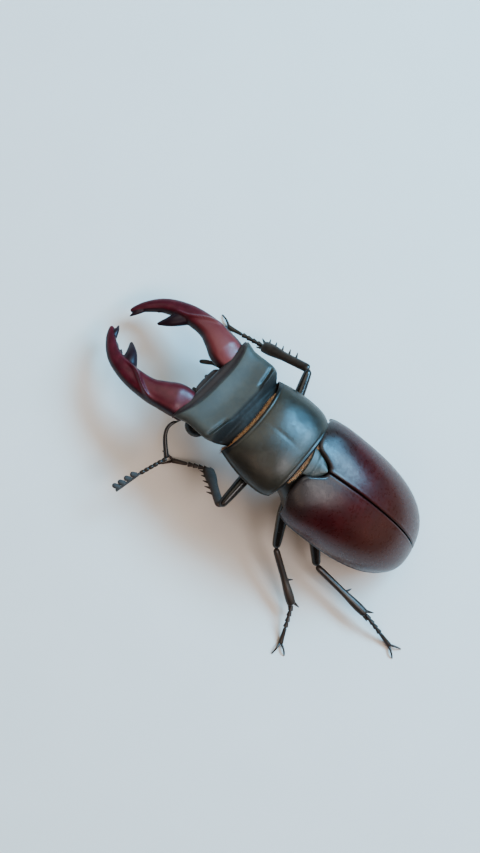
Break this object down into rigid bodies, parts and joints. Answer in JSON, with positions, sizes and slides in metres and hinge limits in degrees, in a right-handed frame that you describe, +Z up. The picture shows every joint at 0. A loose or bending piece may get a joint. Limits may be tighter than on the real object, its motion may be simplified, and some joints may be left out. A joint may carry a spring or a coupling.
{
  "type": "stag beetle model",
  "caption": "Life-size male stag beetle standing on the floor with its fore body raised: broad flat head, long toothed antler-like mandibles, smooth wing cases and slender legs.",
  "frame": {"origin": "on the floor, under the middle of the whole animal as it stands", "axes": "-Y is the way the animal faces, +X is its own left side, +Z is up"},
  "size_m": [0.0486, 0.08, 0.0221],
  "materials": {
    "head_shell": "black-brown, satin and finely pitted",
    "pronotum_shell": "black-brown, smooth satin with a blue sky sheen",
    "wing_case": "dark wine-red to red-brown, smooth satin",
    "mandible_horn": "wine-red, polished, darker along the edges and tips",
    "leg_shell": "black-brown, polished thighs and rougher shins",
    "underside_shell": "black-brown, finely pitted",
    "eye_lens": "black, polished, with fine facets",
    "feeler_shell": "dark brown, the clubs greyed by a fine down"
  },
  "bodies": {
    "root": {"head": "head_shell", "scutellum": "head_shell", "prothorax": "pronotum_shell", "elytron_left": "wing_case", "mandible_left": "mandible_horn", "eye_left": "eye_lens", "palp_maxillary_left": "feeler_shell", "palp_labial_left": "feeler_shell", "antenna_left_scape": "leg_shell", "antenna_left_funicle": "leg_shell", "antenna_left_club": "feeler_shell", "coxa_front_left": "leg_shell", "femur_front_left": "leg_shell", "tibia_front_left": "leg_shell", "tarsus_front_left": "leg_shell", "coxa_middle_left": "leg_shell", "femur_middle_left": "leg_shell", "tibia_middle_left": "leg_shell", "tarsus_middle_left": "leg_shell", "coxa_hind_left": "leg_shell", "femur_hind_left": "leg_shell", "tibia_hind_left": "leg_shell", "tarsus_hind_left": "leg_shell", "elytron_right": "wing_case", "mandible_right": "mandible_horn", "eye_right": "eye_lens", "palp_maxillary_right": "feeler_shell", "palp_labial_right": "feeler_shell", "antenna_right_scape": "leg_shell", "antenna_right_funicle": "leg_shell", "antenna_right_club": "feeler_shell", "coxa_front_right": "leg_shell", "femur_front_right": "leg_shell", "tibia_front_right": "leg_shell", "tarsus_front_right": "leg_shell", "coxa_middle_right": "leg_shell", "femur_middle_right": "leg_shell", "tibia_middle_right": "leg_shell", "tarsus_middle_right": "leg_shell", "coxa_hind_right": "leg_shell", "femur_hind_right": "leg_shell", "tibia_hind_right": "leg_shell", "tarsus_hind_right": "leg_shell", "labrum": "feeler_shell", "thorax": "underside_shell", "abdomen": "underside_shell"}
  },
  "joints": []
}
